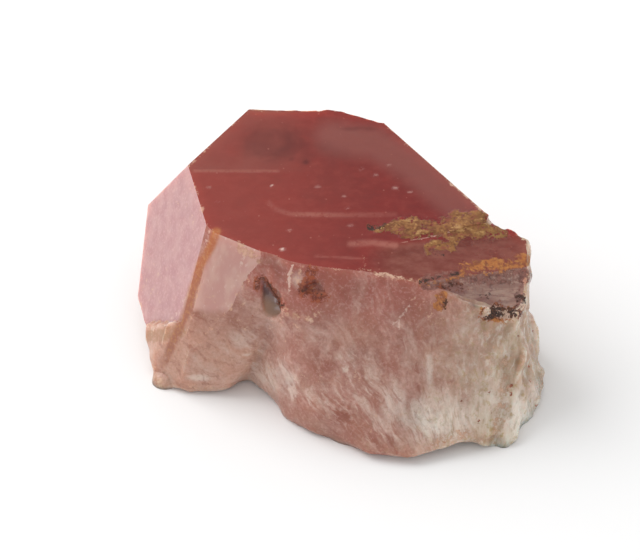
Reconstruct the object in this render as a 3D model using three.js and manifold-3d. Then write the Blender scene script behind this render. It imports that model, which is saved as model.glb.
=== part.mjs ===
// A raw lithium quartz crystal: one stubby crystal, weathered and broken out of its pocket.
// Flat growth faces crown it, a rough break runs round its lower half, and it rests on the break.
// Millimetres, +Z up. The origin is the centre of the footprint, on the surface that it rests on.
import * as THREE from 'three';
import { ImprovedNoise } from 'three/addons/math/ImprovedNoise.js';
import { mergeVertices } from 'three/addons/utils/BufferGeometryUtils.js';
import Module from 'manifold-3d';

const wasm = await Module();
wasm.setup();

// ---------------------------------------------------------------- driving dimensions
// A plane is given by the azimuth it faces (0 is +X, 90 is +Y), its pitch above level,
// and its reach from HEART. On a broken wall, swell is the height of long waves in it,
// and dish the depth of its shell-like scoops.
const HEART = new THREE.Vector3(0, 0, 12);
const EDGE_WEAR = 0.7; // how far broken walls round into each other
const WAVE = 11; // length of the long waves
const SCOOP = 6.5; // width of the scoops
const SLAB = 160; // the blocks that cut flat faces are this large

const CROWN = { azimuth: -79, pitch: 77.6, reach: 9.06 }; // the great face on top
const GROUND = { azimuth: 0, pitch: -90, reach: 12 };

// Growth faces. Where one has a within, it runs only as far as that second plane.
const GROWTH_FACES = [
  CROWN,
  // the lower step of the crown, at its right front and round its right corner
  { azimuth: -68.1, pitch: 76.9, reach: 9.17, within: { azimuth: -75.4, pitch: 0, reach: 6.48 } },
  { azimuth: -68.1, pitch: 76.9, reach: 9.17, within: { azimuth: 12, pitch: 0, reach: 18.1 } },
  // left end
  { azimuth: -159.3, pitch: 21.1, reach: 18.62, within: { azimuth: 89.4, pitch: 43.3, reach: -7.36 } },
  // back left
  { azimuth: 146.9, pitch: 35.3, reach: 22.2 },
  { azimuth: 155, pitch: -9, reach: 26.19 },
  // back right
  { azimuth: 40, pitch: 12, reach: 15.45, within: { azimuth: 130, pitch: 0, reach: -13.7 } },
  // small facet at the left front corner, and the rusted bevel down that corner
  { azimuth: -111.2, pitch: 23.7, reach: 12.26, within: { azimuth: 149.2, pitch: 20.9, reach: 7.02 } },
  { azimuth: -135.5, pitch: 24.3, reach: 16.4 },
  { azimuth: -128.8, pitch: 18.3, reach: 16.6 },
  // striated strip under the right end of the crown
  { azimuth: -74, pitch: 44, reach: 13.5, within: { azimuth: 64.1, pitch: 49, reach: 1.51 } },
];

// Broken walls, as overlapping blocks of the one stone. Each block is sounded out by rays from
// its middle, which start spread out along its core.
const SLOPE = { azimuth: -95.8, pitch: 35.5, reach: 11.5, swell: 0.45, dish: 0.4 };
const LEFT_WALLS = [
  { ...SLOPE, reach: 11.05 },
  { azimuth: -100, pitch: 14, reach: 11.1, swell: 0.45, dish: 0.35 },
  { azimuth: -49, pitch: -20, reach: 3.3, swell: 0.2, dish: 0.2 },
  { azimuth: 0, pitch: 10, reach: -2, swell: 0.3, dish: 0.3 },
  { azimuth: 177.6, pitch: -34.5, reach: 26.2, swell: 0.4, dish: 0.4 },
];
const BLOCKS = [
  {
    middle: [-14, 4, 12],
    core: [7, 9, 3],
    detail: 13,
    walls: [
      ...LEFT_WALLS,
      { azimuth: -159.3, pitch: 21.1, reach: 19.5, swell: 0, dish: 0 },
      { azimuth: 80, pitch: 18, reach: 16.4, swell: 0.5, dish: 0.5 },
      { azimuth: 86, pitch: -6, reach: 18.2, swell: 0.8, dish: 0.8 },
    ],
  },
  // the foot of the left end, which stands out from under the growth face
  {
    middle: [-14, 0, 7],
    core: [6, 6, 2],
    detail: 10,
    walls: [
      ...LEFT_WALLS,
      { azimuth: -164.5, pitch: 26.1, reach: 17.65, swell: 0.15, dish: 0.15 },
      { azimuth: 92.4, pitch: 20, reach: 12, swell: 0.5, dish: 0.5 },
    ],
  },
  // the belly, broken out to the front
  {
    middle: [3, 1, 10],
    core: [12, 11, 3],
    detail: 15,
    walls: [
      SLOPE,
      { azimuth: -117, pitch: 9, reach: 16.1, swell: 0.5, dish: 0.4 },
      { azimuth: -141, pitch: 12, reach: 12.6, swell: 0.3, dish: 0.3 },
      { azimuth: -75, pitch: 30, reach: 16.2, swell: 0.4, dish: 0.4 },
      { azimuth: -12, pitch: 12, reach: 23, swell: 0.4, dish: 0.4 },
      { azimuth: 40, pitch: 8, reach: 16.5, swell: 0.4, dish: 0.4 },
      { azimuth: 92.4, pitch: 20, reach: 19.05, swell: 0.5, dish: 0.5 },
      { azimuth: 68, pitch: 20, reach: 18.2, swell: 0.5, dish: 0.5 },
      { azimuth: 95, pitch: -5, reach: 22.4, swell: 0.8, dish: 0.8 },
      { azimuth: 150, pitch: 0, reach: 18.6, swell: 0.4, dish: 0.4 },
    ],
  },
  // the clear right end
  {
    middle: [16, -6, 9],
    core: [5, 8, 3],
    detail: 12,
    walls: [
      { azimuth: -74, pitch: 32, reach: 15.6, swell: 0.3, dish: 0.4 },
      { azimuth: -92, pitch: 30, reach: 11.6, swell: 0.3, dish: 0.4 },
      { azimuth: -27, pitch: 5, reach: 27.5, swell: 0.3, dish: 0.5 },
      { azimuth: -12, pitch: 13, reach: 24.5, swell: 0.2, dish: 0.4 },
      { azimuth: 10, pitch: 10, reach: 22.8, swell: 0.3, dish: 0.5 },
      { azimuth: 43, pitch: 8, reach: 16.2, swell: 0.4, dish: 0.4 },
      { azimuth: 70, pitch: 25, reach: 7.6, swell: 0.3, dish: 0.3 },
      { azimuth: -170, pitch: 5, reach: -7, swell: 0.2, dish: 0.2 },
    ],
  },
];
const UNDERSIDE = { azimuth: 0, pitch: -90, reach: 12.2, swell: 1.3, dish: 1.6 };
const TOP_CLEARANCE = 3; // blocks stand this far proud of the crown before it is cut

// Small lumps and pits: centre, half sizes, subdivision, lean to the right, turn about the upright.
const LUMPS = [
  { at: [20.4, -17.6, 0.6], half: [2.6, 3.1, 2.6], detail: 1, lean: 0, turn: 20 }, // right foot's clear tip
  { at: [-21.9, -8.4, 0.3], half: [2.2, 1.9, 1.7], detail: 1, lean: 0, turn: 30 }, // left foot's knob
];
const PITS = [
  { at: [-8.5, -9.7, 15.0], half: [1.3, 1.3, 2.7], detail: 3, lean: -18, turn: -8 }, // long pocket
  { at: [-3.4, -9.9, 17.1], half: [1.5, 1.0, 0.95], detail: 3, lean: 0, turn: 4 }, // rusty pit beside it
];

const noise = new ImprovedNoise();
const radians = THREE.MathUtils.degToRad;

// ---------------------------------------------------------------- roughness
function facing({ azimuth, pitch }) {
  const level = Math.cos(radians(pitch));
  return new THREE.Vector3(
    level * Math.cos(radians(azimuth)),
    level * Math.sin(radians(azimuth)),
    Math.sin(radians(pitch)),
  );
}

function waves(p, length, octaves) {
  let sum = 0;
  for (let i = 0; i < octaves; i++) {
    const size = length / 2 ** i;
    sum += noise.noise(p.x / size + 7.3 * i, p.y / size + 3.1, p.z / size - 5.7) / 2 ** i;
  }
  return sum;
}

function jitter(cell, shift) {
  return noise.noise(cell.x * 0.71 + shift, cell.y * 0.83 - shift, cell.z * 0.77 + 2 * shift);
}

// Shell-like scoops: 0 in the middle of each, rising to about 1 on the sharp ridges between them.
function scoops(p, size) {
  const here = p.clone().divideScalar(size);
  const home = here.clone().floor();
  const cell = new THREE.Vector3();
  const middle = new THREE.Vector3();
  let nearest = 1;
  for (let i = -1; i <= 1; i++) {
    for (let j = -1; j <= 1; j++) {
      for (let k = -1; k <= 1; k++) {
        cell.set(home.x + i, home.y + j, home.z + k);
        middle.set(jitter(cell, 0.37), jitter(cell, 1.71), jitter(cell, 2.93));
        middle.multiplyScalar(0.6).addScalar(0.5).add(cell);
        nearest = Math.min(nearest, middle.distanceToSquared(here));
      }
    }
  }
  return nearest;
}

// ---------------------------------------------------------------- the broken mass
// How far along a ray a wall is, roughness included; Infinity for a wall that the ray runs from.
function wallDistance(wall, start, direction) {
  const outward = facing(wall);
  const lean = outward.dot(direction);
  if (lean < 0.03) return Infinity;
  const gap = wall.reach + outward.dot(HEART) - outward.dot(start);
  const point = start.clone().addScaledVector(direction, gap / lean).clampLength(0, 45);
  const rough = wall.swell * waves(point, WAVE, 2) + wall.dish * (scoops(point, SCOOP) - 0.45);
  return (gap + rough) / lean;
}

// How far a ray goes before it leaves a block, with worn edges between its walls.
function blockReach(walls, start, direction) {
  const exits = walls.map((wall) => wallDistance(wall, start, direction));
  const first = Math.min(...exits);
  const crowding = exits.reduce((sum, exit) => sum + Math.exp((first - exit) / EDGE_WEAR), 0);
  return first - EDGE_WEAR * Math.log(crowding);
}

function roughBlock({ middle, core, detail, walls }) {
  const geometry = new THREE.IcosahedronGeometry(1, detail);
  const position = geometry.getAttribute('position');
  const lid = { ...CROWN, reach: CROWN.reach + TOP_CLEARANCE, swell: 0, dish: 0 };
  const centre = new THREE.Vector3(...middle);
  const spread = new THREE.Vector3(...core);
  const direction = new THREE.Vector3();
  for (let i = 0; i < position.count; i++) {
    direction.fromBufferAttribute(position, i).normalize();
    const start = direction.clone().multiply(spread).add(centre);
    const reach = blockReach([...walls, lid, UNDERSIDE], start, direction);
    const point = start.addScaledVector(direction, reach);
    position.setXYZ(i, point.x, point.y, point.z);
  }
  return geometry;
}

// ---------------------------------------------------------------- cuts and lumps
// A block that starts at a plane and lies outside it, so that subtracting it leaves a flat face.
function slabBeyond(plane) {
  const outward = facing(plane);
  const turn = new THREE.Quaternion().setFromUnitVectors(new THREE.Vector3(0, 0, 1), outward);
  const middle = HEART.clone().addScaledVector(outward, plane.reach + SLAB / 2);
  return new THREE.BoxGeometry(SLAB, SLAB, SLAB)
    .applyQuaternion(turn)
    .translate(middle.x, middle.y, middle.z);
}

function pebble({ at, half, detail, lean, turn }) {
  const geometry = new THREE.IcosahedronGeometry(1, detail);
  const position = geometry.getAttribute('position');
  const p = new THREE.Vector3();
  for (let i = 0; i < position.count; i++) {
    p.fromBufferAttribute(position, i);
    p.multiplyScalar(1 + 0.3 * noise.noise(p.x + at[0], p.y + at[1], p.z + at[2]));
    position.setXYZ(i, p.x, p.y, p.z);
  }
  return geometry.scale(...half).rotateY(radians(lean)).rotateZ(radians(turn)).translate(...at);
}

function solidOf(geometry) {
  geometry.deleteAttribute('normal');
  geometry.deleteAttribute('uv');
  const merged = mergeVertices(geometry, 1e-4);
  return new wasm.Manifold(
    new wasm.Mesh({
      numProp: 3,
      vertProperties: merged.getAttribute('position').array,
      triVerts: new Uint32Array(merged.index.array),
    }),
  );
}

function geometryOf(solid) {
  const mesh = solid.getMesh();
  const geometry = new THREE.BufferGeometry();
  geometry.setAttribute('position', new THREE.BufferAttribute(mesh.vertProperties, 3));
  geometry.setIndex(new THREE.BufferAttribute(mesh.triVerts, 1));
  geometry.computeVertexNormals();
  return geometry;
}

function crystalSolid() {
  let solid = solidOf(roughBlock(BLOCKS[0]));
  for (const block of BLOCKS.slice(1)) solid = solid.add(solidOf(roughBlock(block)));
  for (const face of GROWTH_FACES) {
    const beyond = solidOf(slabBeyond(face));
    solid = solid.subtract(face.within ? beyond.intersect(solidOf(slabBeyond(face.within))) : beyond);
  }
  for (const lump of LUMPS) solid = solid.add(solidOf(pebble(lump)));
  for (const pit of PITS) solid = solid.subtract(solidOf(pebble(pit)));
  return solid.subtract(solidOf(slabBeyond(GROUND)));
}

const lithiumQuartz = new THREE.MeshStandardMaterial({ color: 0x9a4f4b, roughness: 0.35, metalness: 0 });
const crystal = new THREE.Mesh(geometryOf(crystalSolid()), lithiumQuartz);
crystal.name = 'quartz_crystal';

const part = new THREE.Group();
part.add(crystal);
export default part;
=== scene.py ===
"""A raw lithium quartz crystal on a pale floor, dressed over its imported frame.

The solid's mesh is re-netted into small even quads, its growth faces and their edges are set back
exactly on their planes, and the broken walls between them get their grain as relief. One
procedural material gives the colours, which follow the same faces. Geometry is worked out in
millimetres and written in metres.
"""

import math

import bpy
import numpy as np
from mathutils import Matrix, Vector
from mathutils.bvhtree import BVHTree
from mathutils.kdtree import KDTree


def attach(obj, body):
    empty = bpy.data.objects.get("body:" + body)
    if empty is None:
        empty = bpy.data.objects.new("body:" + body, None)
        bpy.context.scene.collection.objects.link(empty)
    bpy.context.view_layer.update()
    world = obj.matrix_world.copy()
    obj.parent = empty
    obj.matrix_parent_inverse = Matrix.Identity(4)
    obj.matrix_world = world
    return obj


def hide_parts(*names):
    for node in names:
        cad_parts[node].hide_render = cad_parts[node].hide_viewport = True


MM = 0.001
HEART = np.array([0.0, 0.0, 12.0])  # a point inside the stone, which its faces are measured from
NET = 0.285  # size of the quads in the stone's net, mm
ON_PLANE = 0.02  # how close to a growth face's plane a triangle of the solid is on it, mm

# Growth faces, as in the solid: azimuth and pitch of the normal, and reach from HEART.
BROKEN, CROWN, STEP, END, FACET, RUST_A, RUST_B, STRIP, BACK_A, BACK_B, BACK_C, FLOOR = range(12)
PLANES = {
    CROWN: (-79, 77.6, 9.06),
    STEP: (-68.1, 76.9, 9.17),
    END: (-159.3, 21.1, 18.62),
    FACET: (-111.2, 23.7, 12.26),
    RUST_A: (-135.5, 24.3, 16.4),
    RUST_B: (-128.8, 18.3, 16.6),
    STRIP: (-74, 44, 13.5),
    BACK_A: (146.9, 35.3, 22.2),
    BACK_B: (155, -9, 26.19),
    BACK_C: (40, 12, 15.45),
    FLOOR: (0, -90, 12),
}
# Faces with a colour of their own, by the name that the material reads.
ZONES = {
    "on_crown": (CROWN, STEP),
    "on_end": (END,),
    "on_facet": (FACET,),
    "on_strip": (STRIP,),
    "on_back": (BACK_A, BACK_B, BACK_C),
}


def unit(azimuth, pitch):
    """The direction that faces an azimuth and a pitch, both in degrees."""
    a, p = math.radians(azimuth), math.radians(pitch)
    return np.array([math.cos(p) * math.cos(a), math.cos(p) * math.sin(a), math.sin(p)])


# ---------------------------------------------------------------- noise on arrays of points
def hashed(cells, seed):
    """One number from 0 to 1 for each whole-number cell."""
    n = cells[..., 0] * 73856093 ^ cells[..., 1] * 19349663 ^ cells[..., 2] * 83492791
    n = (n ^ seed * 2654435) & 0xFFFFFFFF
    n = ((n ^ n >> 15) * 2246822519) & 0xFFFFFFFF
    n = ((n ^ n >> 13) * 3266489917) & 0xFFFFFFFF
    return ((n ^ n >> 16) & 0xFFFFFF) / 0xFFFFFF


def hashed_spot(cells, seed):
    """Three numbers from 0 to 1 for each cell."""
    return np.stack([hashed(cells, seed + k) for k in range(3)], -1)


def ripple(points, size, seed=0):
    """Smooth noise from -1 to 1 with waves about size long."""
    p = points / size
    cell = np.floor(p).astype(np.int64)
    t = p - cell
    t = t * t * t * (t * (t * 6 - 15) + 10)
    total = 0.0
    for corner in np.ndindex(2, 2, 2):
        c = np.array(corner)
        weight = np.prod(np.where(c, t, 1 - t), axis=-1)
        total = total + weight * hashed(cell + c, seed)
    return total * 2 - 1


def layered(points, size, octaves, seed=0, fall=0.5):
    """Several ripples on each other, each half as long as the last."""
    total, weight = 0.0, 1.0
    for i in range(octaves):
        total = total + weight * ripple(points + 17.3 * i, size / 2**i, seed + i)
        weight *= fall
    return total


def cells_around(p):
    """The cell that each point is in and the 26 round it, one array at a time."""
    home = np.floor(p).astype(np.int64)
    for step in np.ndindex(3, 3, 3):
        yield home + np.array(step) - 1


def cracked(points, size, seed=0):
    """(distance to the nearest seed, to the next nearest, the cell's own number), in cells."""
    p = points / size
    nearest = np.full(len(p), 9.0)
    second = np.full(len(p), 9.0)
    number = np.zeros(len(p))
    for cell in cells_around(p):
        d = np.linalg.norm(cell + 0.1 + 0.8 * hashed_spot(cell, seed + 1) - p, axis=-1)
        closer = d < nearest
        second = np.where(closer, nearest, np.minimum(second, d))
        number = np.where(closer, hashed(cell, seed + 4), number)
        nearest = np.where(closer, d, nearest)
    return nearest, second, number


def dished(points, size, tilt, seed=0):
    """Dishes about size wide, leaning by tilt, that meet in sharp ridges; from 0 to about 1."""
    p = points / size
    lowest = np.full(len(p), 9.0)
    for cell in cells_around(p):
        off = p - cell - 0.1 - 0.8 * hashed_spot(cell, seed + 1)
        lean = hashed_spot(cell, seed + 4) * 2 - 1
        lowest = np.minimum(lowest, (off * off).sum(-1) + tilt * (off * lean).sum(-1))
    return lowest


def ramp(x, low, high):
    """0 at low, 1 at high, smooth between; low may be the larger."""
    t = np.clip((x - low) / (high - low), 0, 1)
    return t * t * (3 - 2 * t)


def from_path(points, path):
    """(distance from a path of points, how far along it from 0 to 1)."""
    path = np.array(path, float)
    lengths = np.linalg.norm(np.diff(path, axis=0), axis=1)
    starts = np.concatenate([[0], np.cumsum(lengths)])
    best = np.full(len(points), 1e9)
    along = np.zeros(len(points))
    for a, b, length, start in zip(path[:-1], path[1:], lengths, starts):
        t = np.clip((points - a) @ (b - a) / length**2, 0, 1)
        d = np.linalg.norm(points - a - t[:, None] * (b - a), axis=1)
        along = np.where(d < best, (start + t * length) / starts[-1], along)
        best = np.minimum(best, d)
    return best, along


# ---------------------------------------------------------------- the net
def netted(node):
    """The node's solid as an even net of quads: points and faces in millimetres."""
    source = node.data.copy()
    source.transform(Matrix.Scale(1 / MM, 4))
    holder = bpy.data.objects.new("holder", source)
    bpy.context.scene.collection.objects.link(holder)
    net = holder.modifiers.new("net", "REMESH")
    net.mode = "VOXEL"
    net.voxel_size = NET
    graph = bpy.context.evaluated_depsgraph_get()
    made = bpy.data.meshes.new_from_object(holder.evaluated_get(graph))
    points = np.empty(len(made.vertices) * 3)
    made.vertices.foreach_get("co", points)
    quads = np.empty(len(made.loops), np.int64)
    made.loops.foreach_get("vertex_index", quads)
    bpy.data.objects.remove(holder)
    bpy.data.meshes.remove(source)
    bpy.data.meshes.remove(made)
    return points.reshape(-1, 3), quads.reshape(-1, 4)


def solid_faces(node):
    """The solid's corners in millimetres, its triangles, and the growth face each is on."""
    mesh = node.data
    mesh.calc_loop_triangles()
    corners = np.empty(len(mesh.vertices) * 3)
    mesh.vertices.foreach_get("co", corners)
    corners = corners.reshape(-1, 3) / MM
    index = np.empty(len(mesh.loop_triangles) * 3, np.int64)
    mesh.loop_triangles.foreach_get("vertices", index)
    index = index.reshape(-1, 3)
    label = np.full(len(index), BROKEN)
    for key, (azimuth, pitch, reach) in PLANES.items():
        off = (corners[index] - HEART) @ unit(azimuth, pitch) - reach
        label[np.abs(off).max(1) < ON_PLANE] = key
    return corners, index, label


def settled(points, node):
    """Moves each point of the net onto the faces of the solid that meet near it, so that edges
    are sharp again. Returns the points, and for each a row of flags: which faces it is on."""
    corners, index, label = solid_faces(node)
    tree = BVHTree.FromPolygons(corners.tolist(), index.tolist())
    flags = np.zeros((len(points), len(PLANES) + 1), bool)
    placed = points.copy()
    tie = 0.03 * np.eye(3)  # keeps a point from sliding far along the faces
    for i, p in enumerate(points):
        found = {}
        near = tree.find_nearest_range(Vector(p), NET * 0.7) or [tree.find_nearest(Vector(p))]
        for spot, normal, face, distance in near:
            key = label[face]
            if key not in found or distance < found[key][0]:
                found[key] = (distance, np.array(normal), np.array(spot))
        rows = np.array([n for _, n, _ in found.values()])
        gaps = np.array([n @ (s - p) for _, n, s in found.values()])
        placed[i] = p + np.linalg.solve(rows.T @ rows + tie, rows.T @ gaps)
        flags[i, list(found)] = True
    return placed, flags


def thinned(flags, quads):
    """The flags with one row of points left on each edge. Of two faces that meet, a point keeps
    each one only where it has a neighbour on that face alone."""
    pairs = [quads[:, [k, (k + j) % 4]] for k in range(4) for j in (1, 2, 3)]
    here, there = np.concatenate(pairs).T
    for row in np.unique(flags[flags.sum(1) == 2], axis=0):
        pair = np.flatnonzero(row)
        for one, other in (pair, pair, pair[::-1]):
            alone = flags[:, one] & ~flags[:, other]
            beside = np.bincount(here, alone[there], len(flags)) > 0
            flags[(flags == row).all(1) & ~beside, one] = False
    return flags


def held(points, flags):
    """The points set back onto the growth faces that they belong to."""
    for _ in range(3):
        for key, (azimuth, pitch, reach) in PLANES.items():
            n = unit(azimuth, pitch)
            on = flags[:, key]
            off = (points[on] - HEART) @ n - reach
            points[on] -= off[:, None] * n
    return points


def sides_of(quads):
    """Every side of every quad, as (from, to)."""
    return np.concatenate([quads[:, [k, (k + 1) % 4]] for k in range(4)])


def drawn_by(points, here, there):
    """The sum of the points there for each point here."""
    return np.stack([np.bincount(here, points[there, k], len(points)) for k in range(3)], -1)


def evened(points, quads, flags, rounds):
    """The net relaxed: broken walls go smooth, and points slide along faces and edges. A point
    on an edge is drawn only by points on the same edge."""
    ends = sides_of(quads)
    ends = np.unique(np.concatenate([ends, ends[:, ::-1]]), axis=0)
    draws = ~(flags[ends[:, 0]] & ~flags[ends[:, 1]]).any(1)
    here, there = ends[draws].T
    count = np.bincount(here, minlength=len(points)).astype(float)
    moving = count > 1
    for _ in range(rounds):
        target = drawn_by(points, here, there)[moving] / count[moving, None]
        points[moving] += 0.7 * (target - points[moving])
        points = held(points, flags)
    return points


def spread(points, quads, loose, rounds):
    """The loose points moved to the middle of their neighbours, so that none folds over an edge."""
    ends = sides_of(quads)
    here, there = ends[loose[ends[:, 0]]].T
    count = np.bincount(here, minlength=len(points))[loose, None]
    for _ in range(rounds):
        target = drawn_by(points, here, there)[loose] / count
        points[loose] += 0.8 * (target - points[loose])
    return points


def faced(points, quads):
    """(normal of each quad, normal of each point)."""
    a, b, c, d = (points[quads[:, k]] for k in range(4))
    across = np.cross(c - a, d - b)
    whole = np.zeros_like(points)
    for k in range(4):
        np.add.at(whole, quads[:, k], across)
    across /= np.maximum(np.linalg.norm(across, axis=1), 1e-12)[:, None]
    whole /= np.maximum(np.linalg.norm(whole, axis=1), 1e-12)[:, None]
    return across, whole


def labelled(points, quads, flags):
    """The growth face that each quad is part of, or BROKEN."""
    across, _ = faced(points, quads)
    shared = flags[quads].all(1)
    fit = np.full(shared.shape, -1.0)
    fit[:, BROKEN] = 0.9  # beats a growth face that the quad is turned away from
    for key, (azimuth, pitch, _) in PLANES.items():
        fit[:, key] = across @ unit(azimuth, pitch)
    fit[~shared] = -1
    return np.where(shared.any(1), fit.argmax(1), BROKEN)


# ---------------------------------------------------------------- places on the stone
# Most marks are placed in a plan of the front, in mm: across, and up along the slope, from FRONT.
# The grain of the break runs as rays in that plan, to MEETING, low at its right.
FRONT = np.array([-2.4, -3.8, 12.9])
ASIDE = np.array([1.0, 0, 0])
ALOFT = np.array([0, 0.669, 0.743])
OUTWARD = np.array([0, -0.743, 0.669])
MEETING = np.array([19.5, -35.0])
# The crown's lower step begins past two upright planes: azimuth of the normal, reach from HEART.
STEP_FRONT = (-75.4, 6.48)
STEP_RIGHT = (12, 18.1)

# the long pocket, and the rusty pit right of it
POCKET = [(-6.9, -0.1), (-6.6, -1.2), (-6.2, -2.5), (-5.9, -3.4)]
POCKET_RIM = [(-7.7, -0.9), (-7.7, 0.0), (-7.0, 0.3), (-6.2, -0.7), (-5.6, -1.9), (-4.7, -3.1)]
PIT = [(-1.9, 0.1), (-0.9, -0.9)]
PIT_RUST = [(-1.0, 0.9), (-1.2, -0.4), (-2.1, -1.4), (-0.9, -1.7), (0.3, -1.8)]
# ledges, edges and cracks of the broken front
LEDGE = [(-3.3, 1.8), (-3.8, 0.6), (-3.7, -1.3)]
SHELF = [(-4.6, -3.2), (-4.0, -4.0), (-2.4, -4.7), (-1.2, -4.9)]
CREST = [(-9.1, 3.6), (-10.3, -0.1), (-11.3, -3.2)]
CRACK = [(10.9, -3.2), (10.2, -3.9), (9.8, -4.5), (8.8, -5.4)]
CRACK_FORK = [(9.5, -4.9), (9.6, -6.1)]
SLAB_EDGE = [(25.3, -1.2), (25.0, -4.0), (24.9, -6.2), (25.1, -9.3), (24.4, -12.5)]
TAN_BAND = [(22.3, -10.2), (22.7, -11.7), (22.5, -14.8), (21.9, -17.9), (21.4, -19.6)]
TAN_LIP = [(14.0, -20.1), (15.2, -19.5), (17.9, -18.8)]
# the rust-lined edge, and the lip of the end face left of it
RUST_BAND = [(-12.7, 5.8), (-13.4, 4.1), (-14.7, 2.0), (-15.9, -1.4), (-16.6, -3.9), (-17.8, -6.5)]
RUST_BAND += [(-19.0, -9.0), (-20.3, -11.5)]
END_LIP = [(-13.7, 5.8), (-14.7, 2.1), (-16.1, -1.3), (-17.5, -3.8), (-19.4, -5.7), (-21.4, -6.2)]
END_LIP += [(-22.3, -5.4)]
# crust and dust on the crown, its pale bands, and the path of a painted reflection along its back
CRUST = [(7.1, 6.0), (10.0, 6.6), (13.1, 6.2), (16.3, 6.6), (19.4, 6.7), (21.5, 5.8), (23.4, 5.4)]
CRUST_BLOB = [(13.9, 4.2), (15.9, 4.1)]
EDGE_DUST = [(5.0, 1.2), (8.7, 0.4), (12.5, -0.3)]
# the painted reflection along the crown's back and down its right edge
BACK_REFLECTION = [(1.5, 18.0), (7.0, 17.3), (11.5, 14.5), (17.5, 9.0)]
BAND = [(-6.3, 9.6), (-5.5, 8.7), (-3.5, 8.1), (3.0, 8.0), (9.3, 8.1)]
BAND_LEFT = [(-15.8, 13.6), (-5.3, 13.6)]
BAND_LOW = [(-0.5, 2.9), (5.0, 2.6)]
BAND_RIGHT = [(3.7, 4.4), (6.5, 4.6), (9.2, 4.2)]
# iron and dark stain along the seam at the right of the crown's edge
SEAM = [(11.4, -0.4), (14.6, -0.1), (17.5, 0.6), (21.0, 1.0), (25.6, 2.0)]
SEAM_RUST = [(17.6, 1.3), (20.0, 1.8), (22.4, 1.9), (25.4, 2.5)]
SEAM_SPOT = [(14.7, -2.0), (14.5, -3.2)]
INK = [(12.0, -0.3), (13.6, 0.1), (15.2, 0.4), (16.8, 0.8)]
MURK = [(13.1, -0.4), (16.3, 0.0), (19.8, 0.3), (22.5, 0.4), (24.4, 0.6), (25.8, 0.4)]
STAIN = [(20.4, -4.1), (21.2, -3.6), (22.4, -4.2), (23.8, -4.2)]
STAIN_UPRIGHT = [(24.5, -1.4), (24.4, -4.0)]
# veils that sweep down the belly, each with its width, its core and its strength
VEILS = [
    ([(-9.0, -7.5), (-2.9, -13.4), (2.8, -15.1), (6.3, -17.9)], 3.0, 1.0, 1.0),
    ([(3.3, -10.1), (5.0, -13.4), (8.8, -18.4)], 2.2, 0.8, 1.0),
    ([(5.8, -9.8), (7.4, -13.4), (10.5, -16.5)], 1.8, 0.6, 0.8),
    ([(11.5, -6.5), (14.5, -13.5)], 3.5, 1.0, 0.6),
]
# soft spots: across, up, half their width and height, strength
CLOUDS = [(-5.4, 17.3, 5.2, 2.9, 0.7), (-0.5, 15.8, 4.4, 2.0, 0.4), (5.4, 19.2, 2.9, 0.35, 0.6)]
CLOUDS += [(-3.5, 15.2, 0.4, 0.35, 1.0), (-1.7, 14.8, 0.5, 0.4, 1.0)]
MILKY_AND_HIGHLIGHT = [(14.5, -17.0, 5.6, 3.8, 0.85), (16.4, -17.4, 1.9, 3.2, 0.9), (24.5, -17.2, 2.6, 4.4, 1.0)]
MILKY_AND_HIGHLIGHT += [(13.4, -10.6, 0.5, 3.3, 0.5), (13.9, -7.4, 0.3, 0.6, 0.35), (17.4, -6.4, 0.4, 0.9, 0.3)]
MILKY_AND_HIGHLIGHT += [(20.0, -14.0, 2.6, 3.6, 0.3), (-2.7, 0.0, 0.9, 1.2, 0.4), (-5.5, -12.0, 3.4, 2.6, 0.4)]
# (-15.3, -12.3) is a painted highlight along the lower rim of the left foot; the others are whitish
# patches
MILKY_AND_HIGHLIGHT += [(-15.3, -12.3, 1.9, 0.5, 0.5), (26.8, -14.5, 1.2, 2.5, 0.6), (9.5, -14.8, 2.4, 3.4, 0.45)]
BROWNS = [(-3.1, -7.2, 1.7, 2.8, 0.55), (0.5, -9.1, 1.8, 2.9, 0.95), (2.2, -16.4, 2.6, 1.6, 0.85)]
BROWNS += [(6.6, -20.1, 3.0, 1.4, 0.9), (9.2, -9.8, 2.0, 2.0, 0.4), (-10.9, -9.6, 2.4, 2.4, 0.3)]
BROWNS += [(16.2, -1.3, 2.2, 1.0, 0.8), (20.0, -2.5, 2.0, 0.7, 0.7), (-5.6, 2.4, 2.4, 0.9, 0.5)]
BROWNS += [(9.5, -21.4, 4.5, 1.1, 1.0)]
# small brown specks on the front: across, up
SPECKS = [(17.3, -14.8), (21.0, -16.3), (19.4, -17.3), (20.7, -13.9), (23.6, -13.0), (23.5, -14.1)]
SPECKS += [(22.6, -15.0), (26.1, -10.8), (26.0, -12.6), (27.1, -15.6), (24.4, -6.9), (27.0, -6.5)]
SPECKS += [(-8.3, -4.5), (-4.7, -2.8), (-4.6, -3.2)]
# pale dots on the crown: across, up, size, strength
DOTS = [(-6.0, 11.7, 0.22, 0.9), (-4.6, 3.7, 0.28, 1.3), (-0.3, 11.6, 0.35, 0.2)]
DOTS += [(3.0, 10.4, 0.3, 0.3), (3.4, 8.9, 0.25, 0.4), (3.8, 6.7, 0.35, 0.25)]
DOTS += [(-13.8, 11.5, 0.3, 0.2), (-12.8, 9.6, 0.25, 0.3), (-3.8, 6.1, 0.3, 0.3)]
DOTS += [(5.2, 13.9, 0.3, 0.3), (6.9, 13.1, 0.35, 0.35), (9.4, 11.5, 0.4, 0.4)]
DOTS += [(11.2, 11.0, 0.3, 0.35), (8.6, 14.4, 0.3, 0.25)]


def spots(at, places):
    """The strength at each point of the strongest of some soft spots."""
    most = np.zeros(len(at))
    for u, w, across, up, strength in places:
        off = np.hypot((at[:, 0] - u) / across, (at[:, 1] - w) / up)
        most = np.maximum(most, strength * ramp(off, 1.25, 0.3))
    return most


def plan(points):
    """Where points are in the plan of the front."""
    return np.stack([(points - FRONT) @ ASIDE, (points - FRONT) @ ALOFT], -1)


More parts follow.
